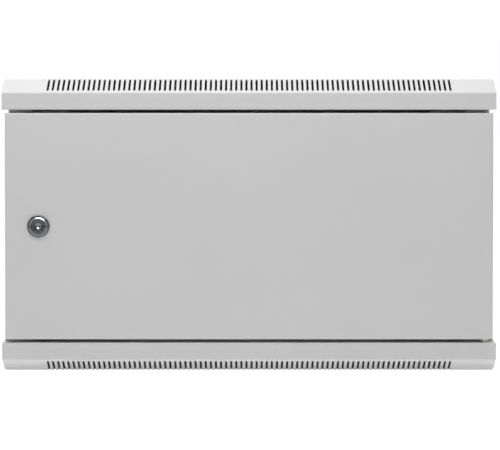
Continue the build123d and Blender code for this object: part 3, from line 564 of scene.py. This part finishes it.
# The cam locks
# Zinc die-castings turned and plated with dark chrome: a bevelled bezel, a dished rim round
# the plug, a threaded body and nut behind the panel, and a steel cam on the plug's tail.
RIM_PROUD = 3.4 * MM
RIM_RADIUS = 9.4 * MM
RIM_WIDTH = 0.3 * MM
FLANGE_PROUD = 2.1 * MM
FLANGE_BEVEL = 0.6 * MM
CONE_RADIUS = 11.2 * MM
GROOVE_DEPTH = 1.2 * MM
STEP_PROUD = 2.6 * MM
STEP_OUTER = 8.4 * MM
STEP_INNER = 6.6 * MM
WELL_PROUD = 0.4 * MM
BODY_RADIUS = 9.3 * MM
PLUG_RADIUS = 5.1 * MM
PLUG_BORE = 5.2 * MM
DIMPLE_RADIUS = 3.3 * MM
DIMPLE_SLOPE = math.radians(33)
KEYWAY = (6.3 * MM, 1.3 * MM, 6.0 * MM)
TAIL_FLATS = 6.4 * MM
TAIL_LENGTH = 4.3 * MM
LOCK_PITCH = 1.0 * MM
LOCK_SHEET = 1.2 * MM
LOCK_NUT_FLATS = 24.0 * MM
LOCK_NUT_HEIGHT = 4.0 * MM
LOCK_CORNERS = 96
EDGE_ROUND = 0.3 * MM
PLUG_CORNERS = 48
LOCK_SCREW_RADIUS = 2.0 * MM
LOCK_SCREW_PITCH = 0.7 * MM


def dark_chrome(name, colour, dark, roughness):
    """Dark chrome plating: nearly a mirror, hazed a little by the casting and the turning marks."""
    # Real turning marks are about 0.1 mm apart, so they are drawn coarser to show.
    haze_mm, turning_mm, turning_depth_mm = 5.0, 0.8, 0.01
    material, tree = new_material(name)
    place = add(tree, "ShaderNodeTexCoord")
    spot = {"Vector": (place, "Object")}
    haze = add(tree, "ShaderNodeTexNoise", {"Scale": 1 / (haze_mm * MM), "Detail": 2.0}, spot)
    turning = add(tree, "ShaderNodeTexNoise", {"Scale": 1 / (turning_mm * MM), "Detail": 1.0}, spot)
    tint = add(
        tree, "ShaderNodeMix", {"data_type": "RGBA", 6: linear(colour), 7: linear(dark)},
        {0: (haze, "Fac")},
    )
    sheen = add(
        tree, "ShaderNodeMapRange",
        {"From Min": 0.3, "From Max": 0.7, "To Min": roughness - 0.02, "To Max": roughness + 0.03},
        {"Value": (haze, "Fac")},
    )
    relief = add(
        tree, "ShaderNodeBump", {"Strength": 0.1, "Distance": turning_depth_mm * MM},
        {"Height": (turning, "Fac")},
    )
    shader = add(
        tree, "ShaderNodeBsdfPrincipled", {"Metallic": 1.0},
        {"Base Color": (tint, 2), "Roughness": (sheen, "Result"), "Normal": (relief, "Normal")},
    )
    add(tree, "ShaderNodeOutputMaterial", links={"Surface": (shader, "BSDF")})
    return material


def rounded(points, radius, steps=4):
    """A profile with its corners rounded: each is a height and a radius, and turns by a small arc."""
    result = [points[0]]
    for before, corner, after in zip(points, points[1:], points[2:]):
        here = Vector(corner)
        back = Vector(before) - here
        forth = Vector(after) - here
        cut = min(radius, 0.4 * back.length, 0.4 * forth.length)
        start = here + back.normalized() * cut
        end = here + forth.normalized() * cut
        for i in range(steps + 1):
            t = i / steps
            result.append(tuple((1 - t) ** 2 * start + 2 * t * (1 - t) * here + t ** 2 * end))
    result.append(points[-1])
    return result


def lock_housing(depth, bezel_radius):
    """A lock's housing, its Z pointing out of the panel, with a thread on the body behind."""
    front = [
        (0.0, BODY_RADIUS),
        (0.0, bezel_radius),
        (FLANGE_PROUD - FLANGE_BEVEL, bezel_radius),
        (FLANGE_PROUD, bezel_radius - FLANGE_BEVEL),
        (FLANGE_PROUD, CONE_RADIUS),
        (RIM_PROUD, RIM_RADIUS),
        (RIM_PROUD, RIM_RADIUS - RIM_WIDTH),
        (RIM_PROUD - GROOVE_DEPTH, RIM_RADIUS - 2 * RIM_WIDTH),
        (RIM_PROUD - GROOVE_DEPTH, STEP_OUTER + RIM_WIDTH / 2),
        (STEP_PROUD, STEP_OUTER - RIM_WIDTH / 2),
        (STEP_PROUD, STEP_INNER),
        (WELL_PROUD, STEP_INNER - RIM_WIDTH),
        (WELL_PROUD, PLUG_BORE),
        (-depth, PLUG_BORE),
    ]
    rows = rounded(front, EDGE_ROUND)
    thread_depth = 0.5 * LOCK_PITCH
    steps_per_turn = 6
    for step in range(round(depth / LOCK_PITCH * steps_per_turn)):
        height = -depth + step * LOCK_PITCH / steps_per_turn

        def reach(angle, height=height):
            phase = (height / LOCK_PITCH - angle / (2 * math.pi)) % 1.0
            return BODY_RADIUS - thread_depth * (1 - abs(2 * phase - 1))

        rows.append((height, reach))
    return turned(rows, LOCK_CORNERS, bored=True)


def lock_plug(length):
    """A lock's plug from its square tail at Z = 0 up to its face, dimpled round the keyway."""
    tail_side = flat_sided(4, TAIL_FLATS, PLUG_RADIUS)
    rows = [
        (0.0, tail_side),
        (TAIL_LENGTH, tail_side),
        (TAIL_LENGTH, PLUG_RADIUS),
        (length - EDGE_ROUND, PLUG_RADIUS),
        (length, PLUG_RADIUS - EDGE_ROUND),
    ]
    # The dimple narrows to a small flat, with one row close inside its edge to keep that crisp.
    for share in (1.0, 0.95, 0.4, 0.15):
        rows.append((length - (1 - share) * DIMPLE_RADIUS * math.tan(DIMPLE_SLOPE), share * DIMPLE_RADIUS))
    return carved(turned(rows, PLUG_CORNERS), [set_at(wedge(KEYWAY, (1, 0.1)), (0, 0, length), (0, 0, 1))])


# Dark where it mirrors the room, pale where it mirrors the sky, with a hard glint from the key lamp.
chrome = dark_chrome("dark_chrome_plated_die_casting", "86888B", "747679", 0.09)
# Plated in a barrel after pressing, so evenly pale and slightly matt.
plated_cam = zinc_plate("zinc_plated_pressed_cam", "B9BBBE", "A2A5A8", 0.33)
lock_nut = hexagonal(LOCK_NUT_FLATS, LOCK_NUT_HEIGHT, bore=BODY_RADIUS)
locks = (("door", (0, -1, 0)), ("left", (-1, 0, 0)), ("right", (1, 0, 0)))
for prefix, out in locks:
    low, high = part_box(prefix + "_lock_housing")
    axis = 1 if out[1] else 0
    middle = [(a + b) / 2 for a, b in zip(low, high)]
    proud = low[axis] if out[axis] < 0 else high[axis]
    face = proud - out[axis] * RIM_PROUD
    seat = tuple(face if i == axis else middle[i] for i in range(3))
    depth = high[axis] - low[axis] - RIM_PROUD
    bezel_radius = (high[2] - low[2]) / 2
    stands_for(prefix + "_lock_housing", set_at(lock_housing(depth, bezel_radius), seat, out), chrome)
    behind = tuple(seat[i] - out[i] * LOCK_SHEET for i in range(3))
    stands_for(prefix + "_lock_nut", set_at(lock_nut, behind, [-step for step in out]), bright_zinc)
    plug_low, plug_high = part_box(prefix + "_lock_plug")
    tail = plug_high[axis] if out[axis] < 0 else plug_low[axis]
    foot = tuple(tail if i == axis else middle[i] for i in range(3))
    stands_for(prefix + "_lock_plug", set_at(lock_plug(plug_high[axis] - plug_low[axis]), foot, out), chrome)
    finish((prefix + "_lock_cam",), plated_cam)
    screw_low, screw_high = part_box(prefix + "_lock_screw")
    head_radius = (screw_high[2] - screw_low[2]) / 2
    tail = screw_high[axis] if out[axis] < 0 else screw_low[axis]
    screw_seat = tuple(tail + out[i] * SCREW_HEAD_HEIGHT if i == axis else middle[i] for i in range(3))
    head = set_at(pan_head(head_radius, SCREW_HEAD_HEIGHT), screw_seat, [-step for step in out])
    shank = set_at(threaded(LOCK_SCREW_RADIUS, LOCK_SCREW_PITCH, TAIL_LENGTH), screw_seat, out)
    stands_for(prefix + "_lock_screw", joined([head, shank]), bright_zinc)


# The side panels
# Shallow pans of the same sheet that hook behind the sills below and lock above, with a
# stiff edge all round, coated like the covers.
finish(["side_panel" + side for side in sides], panel_coat)


# The camera
# It stands about two metres off, near the height of the top edge, and looks almost level.
# The lens shift puts the front in the middle of the picture.
CAMERA_DISTANCE = 2100 * MM
CAMERA_HEIGHT = 341 * MM
CAMERA_PITCH = math.radians(-0.5)
FOCAL_MM = 124.7
SENSOR_MM = 36.0
SHIFT_UP = -0.2350
SHIFT_ASIDE = 0.002
door_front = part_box("door_panel")[0][1]
camera_data = bpy.data.cameras.new("camera")
camera_data.sensor_width = SENSOR_MM
camera_data.lens = FOCAL_MM
camera_data.shift_y = SHIFT_UP
camera_data.shift_x = SHIFT_ASIDE
camera = bpy.data.objects.new("camera", camera_data)
bpy.context.scene.collection.objects.link(camera)
camera.location = (0, door_front - CAMERA_DISTANCE, CAMERA_HEIGHT)
camera.rotation_euler = (math.radians(90) + CAMERA_PITCH, 0, 0)
bpy.context.scene.camera = camera


# The stage
# A pale translucent table that is lit a little from below, so that the background stays
# white and the object's shadow soft, with pale surroundings.
FLOOR_SIDE = 60.0
FLOOR_DROP = 0.2 * MM
TABLE_GLOW = 0.45
TABLE_SEEN = 0.90
TABLE_MIRRORED = 0.25
ROOM = 0.15
SKY = 0.13
half = FLOOR_SIDE / 2
corners = [(-half, -half, 0), (half, -half, 0), (half, half, 0), (-half, half, 0)]
floor = bpy.data.objects.new("floor", as_mesh("floor", (corners, [(0, 1, 2, 3)])))
bpy.context.scene.collection.objects.link(floor)
floor.location = (0, 0, -FLOOR_DROP)


def glow_strength(tree, place, lighting, seen, mirrored, dark_until, pale_from):
    """How bright the surroundings are as a light, as seen, and in mirrors.

    A mirror shows them dark on the camera's side, where the room is unlit.
    """
    ray = add(tree, "ShaderNodeLightPath")
    direct = add(
        tree, "ShaderNodeMath", {"operation": "MAXIMUM"},
        {0: (ray, "Is Camera Ray"), 1: (ray, "Is Transmission Ray")},
    )
    plain = add(tree, "ShaderNodeMapRange", {"To Min": lighting, "To Max": seen}, {"Value": (direct, 0)})
    where = add(tree, "ShaderNodeTexCoord")
    axes = add(tree, "ShaderNodeSeparateXYZ", links={0: (where, place)})
    reflected = add(
        tree, "ShaderNodeMapRange",
        {"From Min": dark_until, "From Max": pale_from, "To Min": ROOM, "To Max": mirrored},
        {"Value": (axes, "Y")},
    )
    return add(
        tree, "ShaderNodeMix", {"data_type": "FLOAT"},
        {0: (ray, "Is Glossy Ray"), 2: (plain, "Result"), 3: (reflected, "Result")},
    )


floor_material, tree = new_material("pale_light_table")
# On the table the two ends of the dark are metres in front of the middle.
strength = glow_strength(
    tree, "Object", lighting=TABLE_GLOW, seen=TABLE_SEEN, mirrored=TABLE_MIRRORED,
    dark_until=-2.1, pale_from=-1.5,
)
matt = add(tree, "ShaderNodeBsdfDiffuse", {"Color": linear("F0F0F0")})
glow = add(tree, "ShaderNodeEmission", {"Color": (1, 1, 1, 1)}, {"Strength": (strength, 0)})
both = add(tree, "ShaderNodeAddShader", links={0: (matt, 0), 1: (glow, 0)})
add(tree, "ShaderNodeOutputMaterial", links={"Surface": (both, 0)})
floor.data.materials.append(floor_material)

world = bpy.data.worlds.new("studio")
bpy.context.scene.world = world
world.use_nodes = True
tree = world.node_tree
tree.nodes.clear()
# In the sky they are the Y of a direction, where -1 points straight back past the camera.
strength = glow_strength(
    tree, "Generated", lighting=SKY, seen=1.0, mirrored=1.0, dark_until=-0.97, pale_from=-0.85,
)
around = add(tree, "ShaderNodeBackground", {"Color": (1, 1, 1, 1)}, {"Strength": (strength, 0)})
add(tree, "ShaderNodeOutputWorld", links={"Surface": (around, 0)})


def soft_lamp(name, power, size, location, turn, swing=0):
    """A soft box of a width and a depth that faces straight down, turned about X and then about Z."""
    data = bpy.data.lights.new(name, "AREA")
    data.shape = "RECTANGLE"
    data.size, data.size_y = size
    data.energy = power
    lamp = bpy.data.objects.new(name, data)
    bpy.context.scene.collection.objects.link(lamp)
    lamp.location = location
    lamp.rotation_euler = (math.radians(turn), 0, math.radians(swing))


# The overhead lamp lights the slopes and the top, the key lamp the front and the lock's bright
# crescent, and the lamp behind keeps the back from going dark.
soft_lamp("overhead", power=12.5, size=(2.2, 1.1), location=(0, -0.15, 1.5), turn=0)
soft_lamp("key", power=4.9, size=(1.4, 0.10), location=(-0.10, -0.655, 0.95), turn=33, swing=-11)
soft_lamp("behind", power=9.0, size=(1.8, 0.9), location=(0, 1.1, 1.2), turn=-50)

bpy.context.scene.view_settings.view_transform = "Standard"
